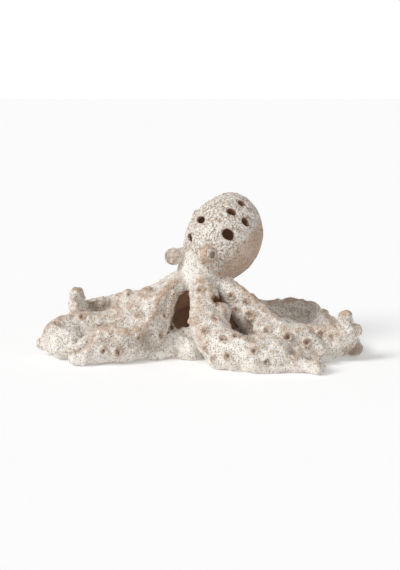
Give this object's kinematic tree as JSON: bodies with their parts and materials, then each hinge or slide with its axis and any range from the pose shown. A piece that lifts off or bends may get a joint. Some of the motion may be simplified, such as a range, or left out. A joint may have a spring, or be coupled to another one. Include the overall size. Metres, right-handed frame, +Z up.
{
  "type": "octopus figurine",
  "caption": "Hand-built stoneware octopus ornament with a hollow pierced mantle on a hollow body cone, knob eyes and curling arms set with dimpled suckers.",
  "frame": {"origin": "on the table, under the middle of the ornament's bounding box", "axes": "+X to the right of someone who looks at its face, +Y to the back, +Z up"},
  "size_m": [0.3116, 0.2438, 0.1543],
  "materials": {
    "glazed_stoneware": "off-white pitted glaze over pinkish clay",
    "bare_clay": "pinkish tan bare fired clay",
    "dark_clay": "grey brown unglazed clay"
  },
  "bodies": {
    "root": {"mantle_shell": "glazed_stoneware", "neck_collar": "glazed_stoneware", "body_cone": "glazed_stoneware", "arm_front": "glazed_stoneware", "arm_front_left": "glazed_stoneware", "arm_left": "glazed_stoneware", "arm_back_left": "glazed_stoneware", "arm_front_right": "glazed_stoneware", "arm_right": "glazed_stoneware", "arm_back_right": "glazed_stoneware", "arm_back": "glazed_stoneware", "web_front_left": "glazed_stoneware", "web_front_right": "glazed_stoneware", "web_right": "glazed_stoneware", "web_right_back": "glazed_stoneware", "web_back_right": "glazed_stoneware", "web_back_left": "glazed_stoneware", "web_left_back": "glazed_stoneware", "web_left": "glazed_stoneware", "eye_left": "bare_clay", "eye_right": "bare_clay", "suckers_front": "bare_clay", "suckers_front_left": "bare_clay", "suckers_left": "bare_clay", "suckers_back_left": "bare_clay", "suckers_front_right": "bare_clay", "suckers_right": "bare_clay", "suckers_back_right": "bare_clay", "suckers_back": "bare_clay", "pupil_left": "dark_clay", "pupil_right": "dark_clay"}
  },
  "joints": []
}
